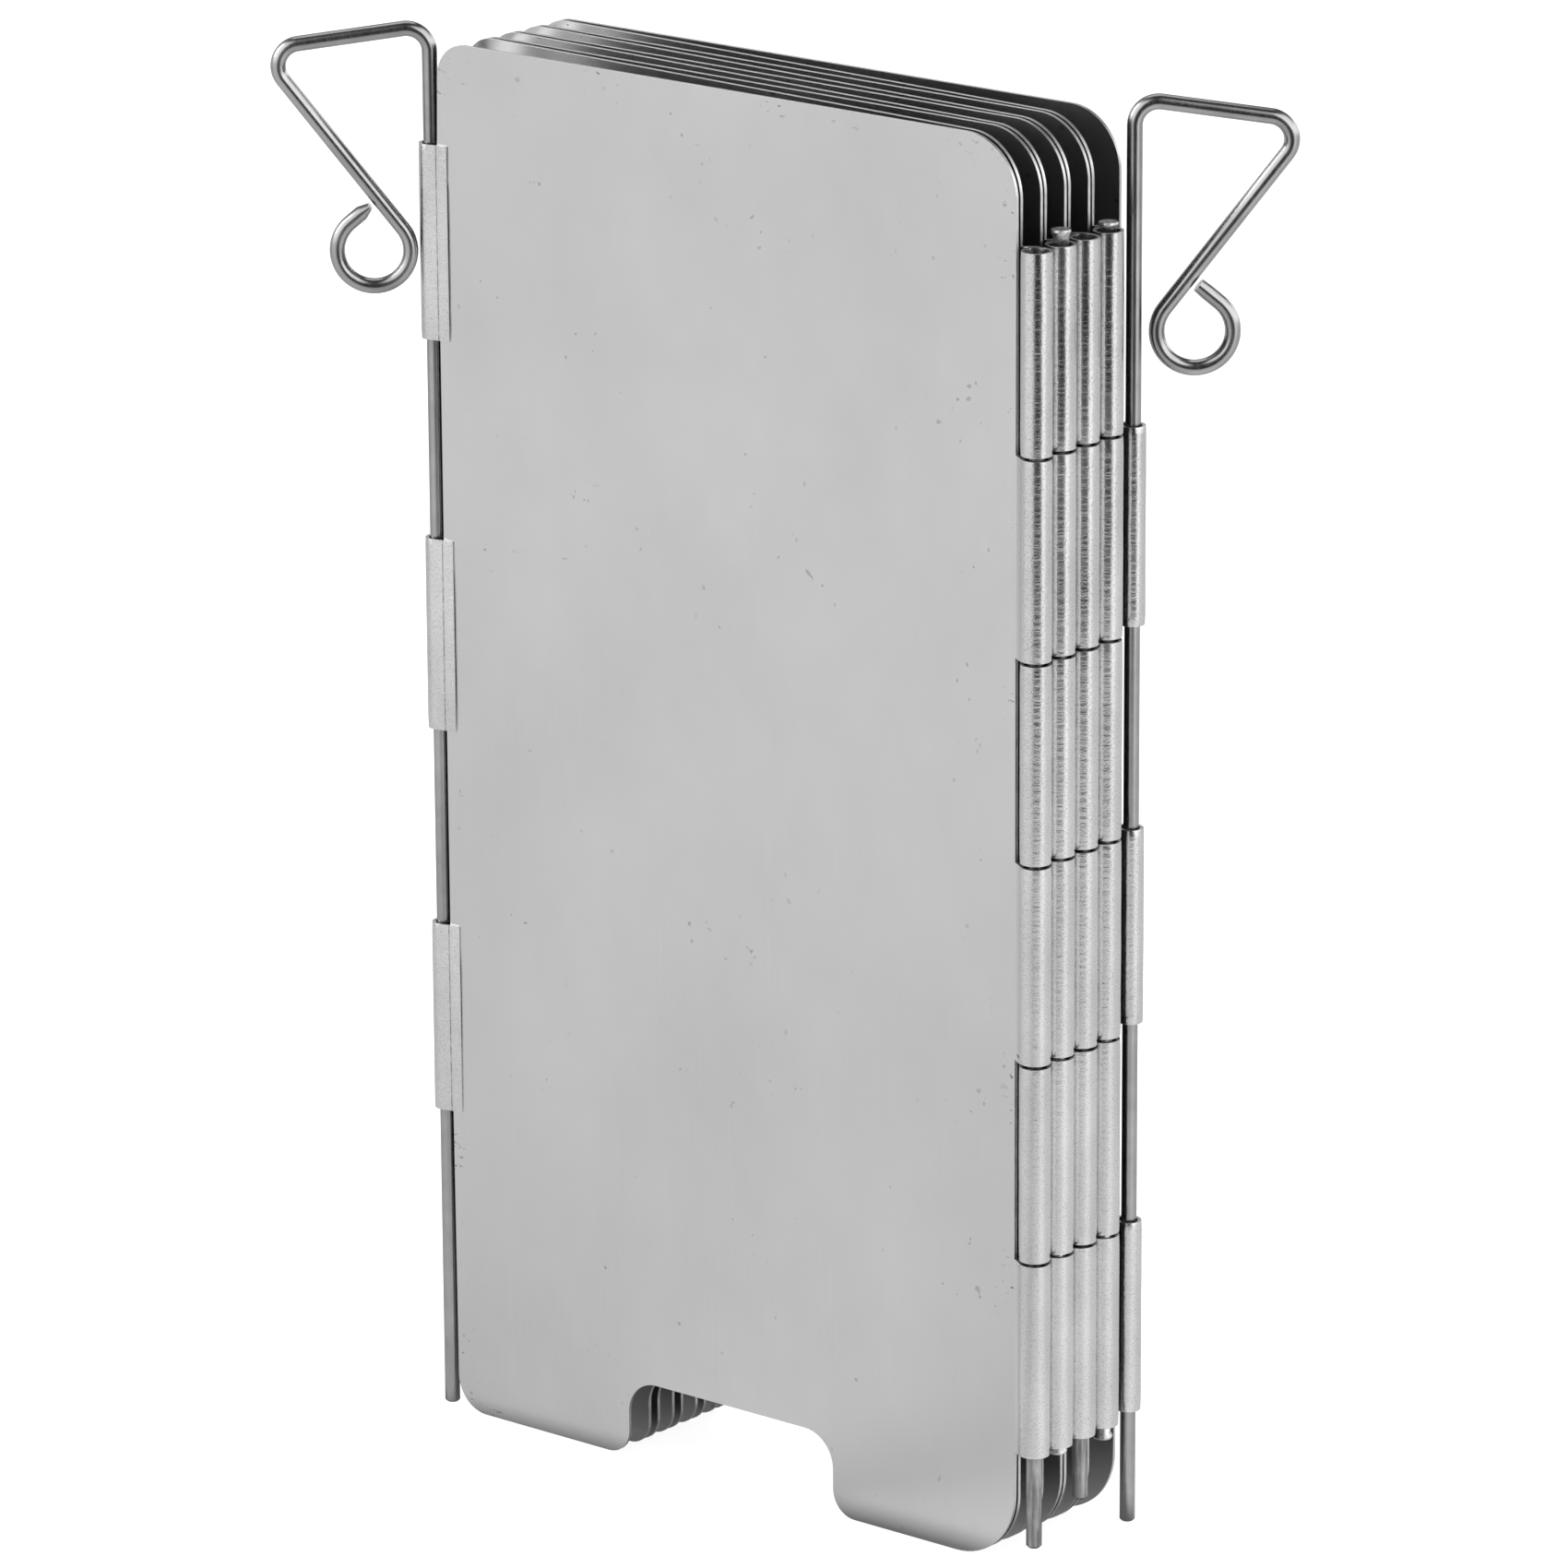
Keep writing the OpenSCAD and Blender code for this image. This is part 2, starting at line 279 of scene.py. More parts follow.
def edge_wear(f):
    """Rises from 0 inside a plate to 1 at its sides, top and bottom."""
    x, _, z = f.parts(f.place)
    beside = f.joined("SUBTRACT", f.joined("ABSOLUTE", x, 0), PLATE_W / 2)
    past_end = f.joined("MAXIMUM", f.joined("SUBTRACT", z, PLATE_H), f.joined("MULTIPLY", z, -1))
    return f.ranged(f.joined("MAXIMUM", beside, past_end), (-NICK_REACH, 0), (0.0, 1.0))


def sheet_aluminium():
    """Rolled sheet: faint upright grain, soft smudges, a few dark specks and nicks along the edges."""
    f = Finish("sheet_aluminium")
    grain = f.pattern((2600, 2600, 90), detail=3.0)
    smudge = f.pattern((24, 24, 19), detail=4.0, rough=0.6)
    # Patchy grime that gates the specks and nicks; the flat sheet has no painted shade
    grime_and_shade = f.ranged(f.pattern((70, 70, 70)), (0.52, 0.62), (0.0, 1.0))
    speck = f.ranged(f.pattern((620, 620, 620), detail=1.0), (0.72, 0.76), (0.0, 0.35))
    speck = f.joined("MULTIPLY", speck, grime_and_shade)
    nick = f.ranged(f.pattern((650, 650, 1300)), (0.66, 0.7), (0.0, 0.8))
    nick = f.joined("MULTIPLY", nick, f.joined("MULTIPLY", grime_and_shade, edge_wear(f)))
    fine = f.ranged(grain, (0.3, 0.7), (0.4, 0.42))
    broad = f.ranged(smudge, (0.3, 0.7), (0.46, 0.58))
    tone = f.joined("SUBTRACT", f.joined("ADD", fine, broad), f.joined("MAXIMUM", speck, nick))
    f.shade(tone, 0.2, 0.88)
    f.roughen(f.ranged(smudge, (0.25, 0.75), (0.19, 0.24)))
    f.relief((grain, 0.0015 * MM), (smudge, 0.03 * MM))
    return f.material


def rolled_aluminium():
    """The rolls are burnished by the tool and keep fine ripples; painted shade, broken into specks,
    darkens their creases.
    """
    f = Finish("rolled_aluminium")
    ripple = f.pattern((260, 260, 1300))
    pits = f.pattern((4200, 4200, 4200))
    smudge = f.pattern((90, 90, 45), detail=3.0, rough=0.6)
    crumbs = f.ranged(f.pattern((900, 900, 900)), (0.35, 0.6), (0.35, 1.0))
    # Painted shade along the crease between roll and flap, broken into specks, darkens the rolls' colour
    grime_and_shade = f.joined("MULTIPLY", f.painted("grime_and_shade"), crumbs)
    tone = f.joined("SUBTRACT", f.ranged(smudge, (0.3, 0.7), (0.78, 1.0)), grime_and_shade)
    tone = f.joined("SUBTRACT", tone, f.ranged(pits, (0.5, 0.75), (0.0, 0.35)))
    f.shade(tone, 0.23, 0.98)
    f.roughen(f.ranged(smudge, (0.3, 0.7), (0.14, 0.24)))
    f.relief((ripple, 0.05 * MM), (pits, 0.024 * MM))
    return f.material


def cut_aluminium():
    """The sheared edge of the sheet is bright and finely torn."""
    f = Finish("cut_aluminium")
    tear = f.pattern((900, 900, 900), detail=3.0)
    f.shade(f.ranged(tear, (0.3, 0.7), (0.0, 1.0)), 0.82, 0.97)
    f.roughen(f.ranged(tear, (0.3, 0.7), (0.34, 0.48)))
    f.relief((tear, 0.03 * MM))
    return f.material


def pin_wire():
    """Dull drawn wire."""
    f = Finish("pin_wire")
    draw = f.pattern((1800, 1800, 160), detail=3.0)
    stain = f.pattern((300, 300, 160), detail=3.0, rough=0.65)
    broad = f.ranged(stain, (0.3, 0.7), (0.0, 0.55))
    fine = f.ranged(draw, (0.35, 0.65), (-0.15, 0.5))
    f.shade(f.joined("ADD", broad, fine), 0.22, 0.61)
    f.roughen(f.ranged(draw, (0.3, 0.7), (0.36, 0.5)))
    f.relief((draw, 0.05 * MM))
    return f.material


def hammered_head():
    """A pin with beaten ends, bright and pitted."""
    f = Finish("hammered_head")
    blows = f.pattern((1100, 1100, 1100))
    f.shade(f.ranged(blows, (0.35, 0.65), (0.0, 1.0)), 0.58, 0.98)
    f.roughen(f.ranged(blows, (0.3, 0.7), (0.32, 0.46)))
    f.relief((blows, 0.12 * MM))
    return f.material


def stake_wire():
    """Bright drawn wire with fine lines."""
    f = Finish("stake_wire")
    draw = f.pattern((2400, 2400, 120), detail=3.0)
    stain = f.pattern((120, 120, 120), detail=3.0, rough=0.6)
    f.shade(f.ranged(stain, (0.3, 0.7), (0.0, 1.0)), 0.45, 0.6)
    f.roughen(f.ranged(draw, (0.3, 0.7), (0.2, 0.27)))
    f.relief((draw, 0.003 * MM))
    return f.material


PLATE_FINISHES = [sheet_aluminium(), rolled_aluminium(), cut_aluminium()]
ROLL_SLOT, CUT_SLOT = 1, 2
SPIKE_FINISH = pin_wire()
HEAD_FINISH = hammered_head()
STAKE_FINISH = stake_wire()


# Sheet plates

LEADING_ROWS = range(2, KNUCKLE_ROWS + 1, 2)
TRAILING_ROWS = range(1, KNUCKLE_ROWS + 1, 2)
LEADING_SEED = 11
TRAILING_SEED = 17


def column_y(i):
    return (i - PLATES / 2) * COLUMN_PITCH / 2


def column_at(i):
    """Foot of a hinge's axis: odd columns lie at the right and even ones at the left."""
    return Vector((COLUMN_X if i % 2 else -COLUMN_X, column_y(i), 0))


def plate_place(k):
    """From a plate's own axes to the frame: even plates are mirrored and outer ones swung open."""
    flip = Matrix.Scale(-1, 4, (1, 0, 0)) if k % 2 == 0 else Matrix.Identity(4)
    middle = (column_y(k - 1) + column_y(k)) / 2
    place = Matrix.Translation((0, middle, 0)) @ flip @ Matrix.Rotation(PLATE_TILT, 4, "Z")
    if k in (1, PLATES):
        to_hinge = Matrix.Translation(column_at(1 if k == 1 else PLATES - 1))
        place = to_hinge @ Matrix.Rotation(OUTER_SWING, 4, "Z") @ to_hinge.inverted() @ place
    return Matrix.Translation(PACK_SHIFT) @ place


def row_span(row):
    """Lowest and highest z of a knuckle; row 1 is the top one."""
    low = ROWS_TOP - row * ROW_H + KNUCKLE_GAP / 2
    return low, low + KNUCKLE_LEN


def plate_blank(bm, k):
    """The flat sheet in its middle plane, with rounded corners and the vent notch."""
    half, notch = PLATE_W / 2, NOTCH_W / 2
    right = [(half, z) for row in reversed(LEADING_ROWS) for z in row_span(row)]
    left = [(-half, z) for row in TRAILING_ROWS for z in reversed(row_span(row))]
    outline = [
        (-half, 0), (-notch, 0), (-notch, NOTCH_H), (notch, NOTCH_H), (notch, 0), (half, 0),
        *right, (half, PLATE_H), (-half, PLATE_H), *left,
    ]
    bm.faces.new([bm.verts.new((x, 0, z)) for x, z in outline])
    packed_right = half if k % 2 else -half
    corners = [
        (packed_right, PLATE_H, TOP_RIGHT_R, WIDE_CORNER_STEPS),
        (packed_right, 0, BOTTOM_RIGHT_R, WIDE_CORNER_STEPS),
        (-packed_right, PLATE_H, LEFT_CORNER_R, CORNER_STEPS),
        (-packed_right, 0, LEFT_CORNER_R, CORNER_STEPS),
        (notch, NOTCH_H, NOTCH_CORNER_R, CORNER_STEPS),
        (-notch, NOTCH_H, NOTCH_CORNER_R, CORNER_STEPS),
        (notch, 0, FOOT_CORNER_R, FOOT_CORNER_STEPS),
        (-notch, 0, FOOT_CORNER_R, FOOT_CORNER_STEPS),
    ]
    for x, z, radius, steps in corners:
        corner = Vector((x, 0, z))
        bmesh.ops.bevel(
            bm, geom=[v for v in bm.verts if (v.co - corner).length < SAME_SPOT],
            offset=radius, offset_type="OFFSET", segments=steps,
            profile=0.5, affect="VERTICES", material=-1,
        )


def tab_strip(bm, side, row):
    """Edges of the sheet's straight side from which a knuckle's tab is drawn, finely divided."""
    low, high = row_span(row)
    edge_x = side * PLATE_W / 2

    def on_tab(v):
        in_row = low - SAME_SPOT < v.co.z < high + SAME_SPOT
        return in_row and abs(v.co.x - edge_x) < SAME_SPOT

    edge = [e for e in bm.edges if all(on_tab(v) for v in e.verts)]
    bmesh.ops.subdivide_edges(bm, edges=edge, cuts=ROLL_CUTS)
    return [e for e in bm.edges if all(on_tab(v) for v in e.verts)]


def uneven_roll(v, axis_at, low, high, seed):
    """Rolling leaves a roll a little uneven, and draws its two ends in."""
    out = Vector((v.co.x - axis_at.x, v.co.y - axis_at.y, 0)).normalized()
    spot = Vector((out.x * DENTS_ROUND + seed, out.y * DENTS_ROUND, v.co.z / DENT_LEN))
    to_end = min(v.co.z - low, high - v.co.z)
    drawn = math.exp(-((to_end / END_REACH) ** 2))
    v.co += out * (noise.noise(spot) * DENT_DEPTH - drawn * END_PINCH)
    v.co.z += drawn * END_DRAW * (1 if v.co.z < (low + high) / 2 else -1)


def finish_roll(bm, known, axis_at, row, seed):
    """Makes the new part of a roll uneven and gives it the finish of the rolls."""
    rolled = set(bm.verts) - known
    for v in rolled:
        uneven_roll(v, axis_at, *row_span(row), seed)
    for f in bm.faces:
        if any(v in rolled for v in f.verts):
            f.material_index = ROLL_SLOT


def roll_hinge_knuckle(bm, side, row, seed):
    """Bends a tab away from the hinge's axis and rolls it up round that axis."""
    mid_r = (KNUCKLE_OD - SHEET_T) / 2
    to_axis = math.hypot(AXIS_REACH, AXIS_OFFSET)
    bend = math.asin(mid_r / to_axis) - math.atan(AXIS_OFFSET / AXIS_REACH)
    axis_at = side * Vector((AXIS_U, AXIS_OFFSET, 0))
    touch = axis_at - side * mid_r * Vector((math.sin(bend), math.cos(bend), 0))
    tab = draw_out(bm, tab_strip(bm, side, row), touch - Vector((side * PLATE_W / 2, 0, 0)))
    known = set(bm.verts)
    roll_round(bm, tab, axis_at, (0, 0, 1), math.tau - SEAM_ANGLE, ROLL_STEPS)
    finish_roll(bm, known, axis_at, row, seed)


def roll_stake_knuckle(bm, side, row, seed):
    """Bends a tab to the back, rolls it round to the front and lays its end on the plate."""
    mid_r = (STAKE_KNUCKLE_OD - SHEET_T) / 2
    to_axis = math.hypot(STAKE_REACH, STAKE_OFFSET)
    rise = math.asin(mid_r / to_axis) + math.atan(STAKE_OFFSET / STAKE_REACH)
    flap_y = STAKE_OFFSET + SHEET_T + FLAP_GAP
    dip = math.atan(flap_y / STAKE_REACH) - math.asin(mid_r / math.hypot(STAKE_REACH, flap_y))
    axis_at = Vector((side * STAKE_U, STAKE_OFFSET, 0))
    touch = axis_at + mid_r * Vector((-side * math.sin(rise), math.cos(rise), 0))
    leave = axis_at + mid_r * Vector((side * math.sin(dip), -math.cos(dip), 0))
    flap = Vector((side * PLATE_W / 2, -SHEET_T - FLAP_GAP, 0))
    tab = draw_out(bm, tab_strip(bm, side, row), touch - Vector((side * PLATE_W / 2, 0, 0)))
    known = set(bm.verts)
    end = roll_round(bm, tab, axis_at, (0, 0, -side), math.pi + rise - dip, ROLL_STEPS)
    finish_roll(bm, known, axis_at, row, seed)
    down = (flap - leave).normalized()
    inward = Vector((-side, 0, 0))
    end = draw_out(bm, end, flap - leave - CREASE_W * down)
    crease = draw_out(bm, end, CREASE_W * down)
    end = draw_out(bm, crease, CREASE_W * inward)
    end = draw_out(bm, end, (FLAP_LEN - CREASE_W - LIP_LEN) * inward)
    sink = (1 - LIP_SHARE) * SHEET_T / 2
    lip = draw_out(bm, end, LIP_LEN * inward + Vector((0, sink, 0)))
    grime_and_shade, share = bm.verts.layers.float["grime_and_shade"], bm.verts.layers.deform.active
    # The crease's points carry the strength of its painted shade
    for v in verts_of(crease):
        v[grime_and_shade] = CREASE_SHADE
    for v in verts_of(lip):
        v[share][0] = LIP_SHARE


def make_plate(k):
    bm = bmesh.new()
    # Strength of painted shade at each point; only the stake knuckles' creases get any
    bm.verts.layers.float.new("grime_and_shade")
    share = bm.verts.layers.deform.new()
    plate_blank(bm, k)
    sides = [(1, LEADING_ROWS, PLATES, LEADING_SEED), (-1, TRAILING_ROWS, 1, TRAILING_SEED)]
    for side, rows, staked_plate, seed in sides:
        roll_knuckle = roll_stake_knuckle if k == staked_plate else roll_hinge_knuckle
        for row in rows:
            roll_knuckle(bm, side, row, seed * k + row)
    for v in bm.verts:
        if 0 not in v[share]:
            v[share][0] = 1.0
    bmesh.ops.transform(bm, matrix=plate_place(k), verts=bm.verts)
    bmesh.ops.recalc_face_normals(bm, faces=bm.faces)
    piece = new_piece(f"sheet_plate_{k}", bm, PLATE_FINISHES)
    piece.vertex_groups.new(name="sheet_share")
    thick = piece.modifiers.new("sheet", "SOLIDIFY")
    thick.vertex_group = "sheet_share"
    thick.thickness = SHEET_T
    thick.offset = 0
    thick.use_even_offset = True
    thick.material_offset_rim = CUT_SLOT
    soft = piece.modifiers.new("cut_rim", "BEVEL")
    soft.width = RIM_SOFTENING
    soft.segments = RIM_STEPS
    soft.limit_method = "ANGLE"
    soft.angle_limit = RIM_ANGLE
    soft.material = CUT_SLOT
    flat = piece.modifiers.new("flat_sheet", "WEIGHTED_NORMAL")
    flat.weight = 100
    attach(piece, f"plate_{k}")
    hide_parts(f"plate_{k}")


# Hinge pins


def turned(profile):
    """A solid of revolution about z from (radius, z) points, lowest first."""
    bm = bmesh.new()
    verts = [bm.verts.new((r, 0, z)) for r, z in profile]
    edges = [bm.edges.new(pair) for pair in zip(verts, verts[1:])]
    bmesh.ops.spin(
        bm, geom=verts + edges, cent=(0, 0, 0), axis=(0, 0, 1), angle=math.tau,
        steps=TURN_STEPS, use_merge=True, use_duplicate=False,
    )
    bmesh.ops.remove_doubles(bm, verts=bm.verts, dist=SAME_SPOT)
    bmesh.ops.recalc_face_normals(bm, faces=bm.faces)
    return bm


def spike(i):
    """A long plain pin with chamfered ends; the outer hinges' ones stand lower."""
    low, r, cut = SPIKE_LOW if i in (1, PLATES - 1) else SPIKE_HIGH, PIN_D / 2, SPIKE_CHAMFER
    high = low + SPIKE_LEN
    return turned([
        (0, low), (r - cut, low), (r, low + cut), (r, high - cut), (r - cut, high), (0, high),
    ])


def headed_pin(i):
    """A pin with both ends beaten to a low, slightly dished head."""
    slip = HEAD_SLIP if i in (2, PLATES - 2) else 0
    low, high, r = MARGIN_BELOW - HEAD_BELOW - slip, ROWS_TOP + HEAD_ABOVE - slip, PIN_D / 2
    flare = HEAD_D / 2 - r
    half = [
        (0, HEAD_DISH), (0.5 * r, HEAD_HALF_DISH), (r - flare, 0), (r + 0.6 * flare, 0.25 * flare),
        (r + flare, 1.1 * flare), (r + 0.8 * flare, 2 * flare), (r, HEAD_T),
    ]
    return turned([(x, low + z) for x, z in half] + [(x, high - z) for x, z in reversed(half)])


def make_pin(i):
    """On each side of the pack, every second pin is a spike."""
    plain = i % 4 in (0, 1)
    bm = spike(i) if plain else headed_pin(i)
    bmesh.ops.translate(bm, verts=bm.verts, vec=PACK_SHIFT + column_at(i))
    piece = new_piece(f"pin_{i}", bm, [SPIKE_FINISH if plain else HEAD_FINISH])
    piece.data.set_sharp_from_angle(angle=SHARP_ANGLE)
    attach(piece, f"plate_{i}")
    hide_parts(f"hinge_pin_{i}")


# Ground stakes


class WireRun:
    """Bends one wire in the plane of x and z, from its tip up."""

    def __init__(self):
        self.bm = bmesh.new()
        made = bmesh.ops.create_circle(self.bm, cap_ends=True, segments=WIRE_SIDES, radius=WIRE_D / 2)
        self.ring = list({e for v in made["verts"] for e in v.link_edges})
        self.at = Vector((0, 0, 0))
        self.heading = 0.0

    def ahead(self):
        return Vector((math.sin(self.heading), 0, math.cos(self.heading)))

    def right(self):
        return Vector((math.cos(self.heading), 0, -math.sin(self.heading)))

    def straight(self, length):
        self.ring = draw_out(self.bm, self.ring, self.ahead() * length)
        self.at += self.ahead() * length

    def bend(self, r, sweep):
        """Bends to the right, or to the left for a negative sweep."""
        hand = 1 if sweep > 0 else -1
        centre = self.at + hand * r * self.right()
        steps = max(FEWEST_BEND_STEPS, round(abs(sweep) / BEND_STEP))
        self.ring = roll_round(self.bm, self.ring, centre, (0, 1, 0), sweep, steps)
        self.heading += sweep
        self.at = centre - hand * r * self.right()

    def narrow(self, share):
        bmesh.ops.scale(
            self.bm, verts=verts_of(self.ring), vec=(share,) * 3, space=Matrix.Translation(-self.at)
        )

    def flatten(self, share):
        for v in verts_of(self.ring):
            v.co -= self.right() * (1 - share) * (v.co - self.at).dot(self.right())

    def close(self):
        bmesh.ops.edgeloop_fill(self.bm, edges=self.ring)
        bmesh.ops.recalc_face_normals(self.bm, faces=self.bm.faces)
        return self.bm


def handle_path():
    """Lengths and turns of the handle, from the rod's top to the tail."""
    ring_at = Vector((STAKE_KNUCKLE_OD / 2 + RING_GAP + WIRE_D / 2 + RING_R, STAKE_H - RING_DROP))
    rod_at = Vector((ROD_BEND_R, STAKE_H - WIRE_D / 2 - ROD_BEND_R))
    droop = Vector((math.sin(ARM_DROOP), math.cos(ARM_DROOP)))
    arm_from = rod_at + ROD_BEND_R * droop
    arm_x = HANDLE_REACH - ARM_BEND_R
    arm_line = arm_from.y - (arm_x - arm_from.x) * math.tan(ARM_DROOP)
    arm_at = Vector((arm_x, arm_line - ARM_BEND_R / math.cos(ARM_DROOP)))
    arm = (arm_at + ARM_BEND_R * droop - arm_from).length
    span = ring_at - arm_at
    slant = math.atan2(span.y, span.x) - math.asin((ARM_BEND_R + RING_R) / span.length)
    diagonal = math.sqrt(span.length_squared - (ARM_BEND_R + RING_R) ** 2)
    arm_turn = -ARM_DROOP - slant
    ring_turn = TAIL_ANGLE + math.pi / 2 - slant
    return rod_at.y, arm, arm_turn, diagonal, ring_turn


def make_stake(name, plate, side, tail_share):
    rod, arm, arm_turn, diagonal, ring_turn = handle_path()
    tip_share = 1 - 2 * TIP_CHAMFER / WIRE_D
    wire = WireRun()
    wire.narrow(tip_share)
    wire.straight(TIP_CHAMFER)
    wire.narrow(1 / tip_share)
    wire.straight(rod - TIP_CHAMFER)
    wire.bend(ROD_BEND_R, math.pi / 2 + ARM_DROOP)
    wire.straight(arm)
    wire.bend(ARM_BEND_R, arm_turn)
    wire.straight(diagonal)
    wire.bend(RING_R, -ring_turn)
    wire.straight(TAIL_LEN - CHISEL_LEN)
    wire.straight(CHISEL_LEN)
    wire.flatten(tail_share)
    bm = wire.close()
    in_plate = Matrix.Translation((side * STAKE_U, STAKE_OFFSET, STAKE_TIP))
    outward = Matrix.Rotation(HANDLE_TURN + (0 if side > 0 else math.pi), 4, "Z")
    bmesh.ops.transform(bm, matrix=plate_place(plate) @ in_plate @ outward, verts=bm.verts)
    piece = new_piece(f"wire_{name}", bm, [STAKE_FINISH])
    piece.data.set_sharp_from_angle(angle=SHARP_ANGLE)
    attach(piece, name)
    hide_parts(name)


for number in range(1, PLATES + 1):
    make_plate(number)
for number in range(1, PLATES):
    make_pin(number)
make_stake("stake_right", PLATES, 1, BLUNT_SHARE)
make_stake("stake_left", 1, -1, CHISEL_SHARE)


# Camera, fitted to the photograph

CAMERA_AZ = math.radians(40.561)
CAMERA_EL = math.radians(16.964)
CAMERA_ROLL = math.radians(-0.343)
CAMERA_DISTANCE = 1521.209 * MM
CAMERA_TARGET = Vector((1.398, 0, 120.39)) * MM + PACK_SHIFT
FOCAL_IN_FRAMES = 9968.97 / 1700
SENSOR = 36
NEAREST_SEEN = 0.05
FARTHEST_SEEN = 50


def make_camera():
    back = Vector((
        math.sin(CAMERA_AZ) * math.cos(CAMERA_EL),
        -math.cos(CAMERA_AZ) * math.cos(CAMERA_EL),
        math.sin(CAMERA_EL),
    ))
    level = Vector((math.cos(CAMERA_AZ), math.sin(CAMERA_AZ), 0))
    right = math.cos(CAMERA_ROLL) * level + math.sin(CAMERA_ROLL) * back.cross(level)
    turn = Matrix((right, back.cross(right), back)).transposed().to_4x4()
    data = bpy.data.cameras.new("camera")
    data.sensor_width = SENSOR
    data.lens = SENSOR * FOCAL_IN_FRAMES
    data.clip_start = NEAREST_SEEN
    data.clip_end = FARTHEST_SEEN
    camera = bpy.data.objects.new("camera", data)
    bpy.context.scene.collection.objects.link(camera)
    camera.matrix_world = Matrix.Translation(CAMERA_TARGET + CAMERA_DISTANCE * back) @ turn
    bpy.context.scene.camera = camera


# Studio: a pale floor, soft light from the left and front, and a darker room on the right

FLOOR_RADIUS = 9.0
FLOOR_DROP = 0.2 * MM
FLOOR_GLOW = 0.9
FLOOR_GREY = 0.5
ROOM_LIGHT = 0.9
SOFTBOX_SIZE = 1.2

# Brightness that the metal mirrors, as (degrees, value) from the front (-y) toward the right
TABLE = [
    (-180, 0.57), (-80, 0.55), (-50, 0.61), (-38, 0.645), (-25, 0.65), (0, 0.63), (15, 0.56), (32, 0.51),
    (50, 0.62), (68, 0.68), (80, 0.83), (95, 0.8), (108, 0.66), (132, 0.62), (180, 0.57),
]
GROUND = [
    (-180, 0.52), (-155, 1.17), (-120, 1.17), (-100, 0.5), (-75, 0.46), (-50, 0.48), (-41, 0.66),
    (5, 0.68), (16, 0.54), (29, 0.07), (37, 0.01), (58, 0.01), (70, 0.07), (80, 0.97), (96, 0.97),
    (106, 0.65), (130, 0.57), (180, 0.52),
]
WALLS = [
    (-180, 3.1), (-163, 2.8), (-152, 1.5), (-100, 1.35), (-62, 1.2), (-40, 3.1), (8, 3.4), (17, 0.7),
    (28, 0.03), (54, 0.03), (60, 0.35), (66, 3.8), (125, 3.8), (180, 3.1),
]
LAMPS = [
    (-180, 0.2), (-90, 0.28), (-70, 2.1), (8, 3.1), (20, 0.35), (33, 0.05),
    (46, 0.05), (53, 0.35), (60, 3.4), (130, 2.8), (150, 0.35), (180, 0.2),
]

# Where walls turn to lamps and lamps to ceiling, as the rise of the direction looked in
LAMPS_FROM = 0.32, 0.42
LAMPS_TO = 0.72, 0.85
CEILING = 0.1

# Share of the room's light that is left after many bounces between the plates
FIRST_BOUNCES = 1, 3
INNER_LIGHT = 0.03

# The table's edge, its shade towards the pack, and the shade right under the pack
TABLE_REACH = 0.56
TABLE_EDGE = 0.08
TABLE_SHADE = 0.06
SHADED = 0.94
PACK_HALF_X = 66 * MM
PACK_HALF_Y = 14 * MM
PACK_SHADE = 8 * MM
UNDER_PACK = 0.25


class Studio(Shading):
    """What the metal mirrors: brightness by direction, height and distance."""

    def around(self, vector, stops):
        """Brightness by the direction of vector seen from above."""
        x, y, _ = self.parts(vector)
        angle = self.joined("ARCTAN2", x, self.joined("MULTIPLY", y, -1))
        ramp = self.nodes.new("ShaderNodeValToRGB")
        marks = ramp.color_ramp.elements
        marks[0].position, marks[1].position = 0, 1
        for degrees, _ in stops[1:-1]:
            marks.new((degrees + 180) / 360)
        for mark, (_, value) in zip(marks, stops):
            mark.color = (value, value, value, 1)
        self.links.new(self.ranged(angle, (-math.pi, math.pi), (0, 1)), ramp.inputs["Fac"])
        return ramp.outputs["Color"]

    def room(self, vector):
        """Walls, lamps above them and a dark ceiling, dimmed where plates mirror them to each other."""
        rise = self.parts(vector)[2]
        lit = self.ranged(rise, LAMPS_FROM, (self.around(vector, WALLS), self.around(vector, LAMPS)))
        lit = self.ranged(rise, LAMPS_TO, (lit, CEILING))
        depth = self.nodes.new("ShaderNodeLightPath").outputs["Ray Depth"]
        return self.joined("MULTIPLY", lit, self.ranged(depth, FIRST_BOUNCES, (1, INNER_LIGHT)))

    def floor(self, vector):
        """A table that ends at TABLE_REACH, the darker ground beyond, and shade under the pack."""
        length = self.nodes.new("ShaderNodeVectorMath")
        length.operation = "LENGTH"
        self.links.new(vector, length.inputs[0])
        away = length.outputs["Value"]
        shade = self.ranged(away, (TABLE_SHADE, TABLE_REACH), (SHADED, 1))
        table = self.joined("MULTIPLY", self.around(vector, TABLE), shade)
        edge = TABLE_REACH - TABLE_EDGE, TABLE_REACH + TABLE_EDGE
        seen = self.ranged(away, edge, (table, self.around(vector, GROUND)))
        x, y, _ = self.parts(vector)
        beside = self.joined("SUBTRACT", self.joined("ABSOLUTE", x, 0), PACK_HALF_X)
        before = self.joined("SUBTRACT", self.joined("ABSOLUTE", y, 0), PACK_HALF_Y)
        clear = self.ranged(self.joined("MAXIMUM", beside, before), (0, PACK_SHADE), (UNDER_PACK, 1))
        return self.joined("MULTIPLY", seen, clear)

    def mirrored_or_seen(self, mirrored, seen, out):
        """Metal mirrors one shader, and everything else sees the other."""
        path = self.nodes.new("ShaderNodeLightPath")
        mix = self.nodes.new("ShaderNodeMixShader")
        self.links.new(path.outputs["Is Glossy Ray"], mix.inputs["Fac"])
        self.links.new(seen, mix.inputs[1])
        self.links.new(mirrored, mix.inputs[2])
        self.links.new(mix.outputs[0], self.nodes.new(out).inputs["Surface"])


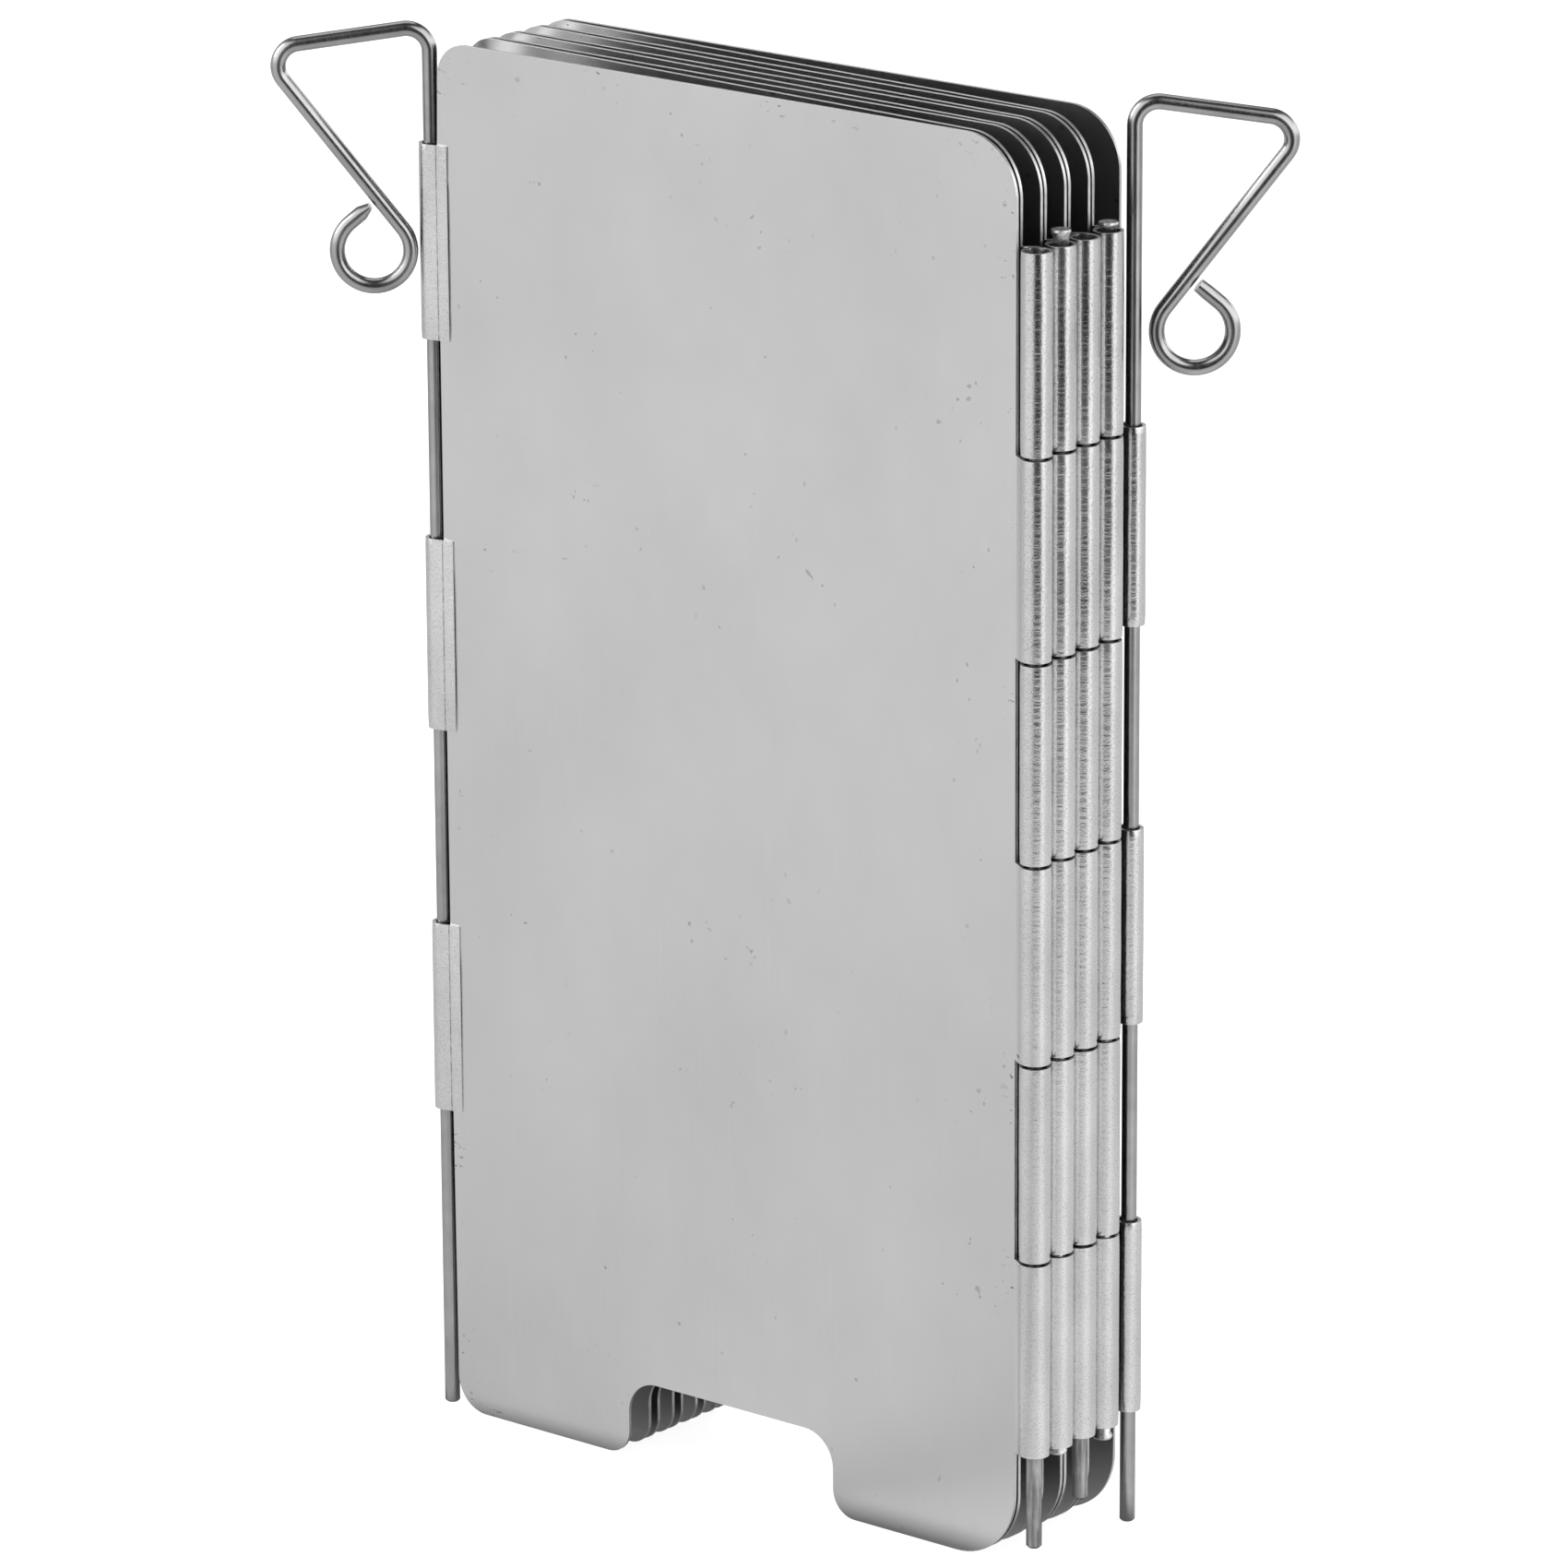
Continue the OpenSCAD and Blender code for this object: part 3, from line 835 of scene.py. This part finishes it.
def make_floor():
    bm = bmesh.new()
    bmesh.ops.create_circle(bm, cap_ends=True, segments=FLOOR_SIDES, radius=FLOOR_RADIUS)
    material = bpy.data.materials.new("pale_floor")
    material.use_nodes = True
    material.node_tree.nodes.clear()
    studio = Studio(material.node_tree)
    place = studio.nodes.new("ShaderNodeTexCoord")
    mirrored = studio.nodes.new("ShaderNodeEmission")
    studio.links.new(studio.floor(place.outputs["Object"]), mirrored.inputs["Strength"])
    glow = studio.nodes.new("ShaderNodeEmission")
    glow.inputs["Strength"].default_value = FLOOR_GLOW
    paper = studio.nodes.new("ShaderNodeBsdfDiffuse")
    paper.inputs["Color"].default_value = (FLOOR_GREY, FLOOR_GREY, FLOOR_GREY, 1)
    seen = studio.nodes.new("ShaderNodeAddShader")
    studio.links.new(glow.outputs[0], seen.inputs[0])
    studio.links.new(paper.outputs[0], seen.inputs[1])
    studio.mirrored_or_seen(mirrored.outputs[0], seen.outputs[0], "ShaderNodeOutputMaterial")
    floor = new_piece("floor", bm, [material])
    floor.location.z = -FLOOR_DROP


def make_room():
    world = bpy.data.worlds.new("room")
    bpy.context.scene.world = world
    world.use_nodes = True
    world.node_tree.nodes.clear()
    studio = Studio(world.node_tree)
    place = studio.nodes.new("ShaderNodeTexCoord")
    mirrored = studio.nodes.new("ShaderNodeBackground")
    studio.links.new(studio.room(place.outputs["Generated"]), mirrored.inputs["Strength"])
    plain = studio.nodes.new("ShaderNodeBackground")
    plain.inputs["Strength"].default_value = ROOM_LIGHT
    studio.mirrored_or_seen(mirrored.outputs[0], plain.outputs[0], "ShaderNodeOutputWorld")


def make_softbox(name, place, toward, power):
    data = bpy.data.lights.new(name, "AREA")
    data.size = SOFTBOX_SIZE
    data.energy = power
    light = bpy.data.objects.new(name, data)
    bpy.context.scene.collection.objects.link(light)
    aim = (Vector(toward) - Vector(place)).to_track_quat("-Z", "Y")
    light.matrix_world = Matrix.Translation(place) @ aim.to_matrix().to_4x4()


make_camera()
make_floor()
make_room()
make_softbox("left_softbox", place=(-1.4, -1.3, 1.2), toward=(0, 0, 0.12), power=9.6)
make_softbox("top_softbox", place=(-0.6, 0.5, 1.7), toward=(0, 0, 0.1), power=3.4)

bpy.context.scene.view_settings.view_transform = "Standard"
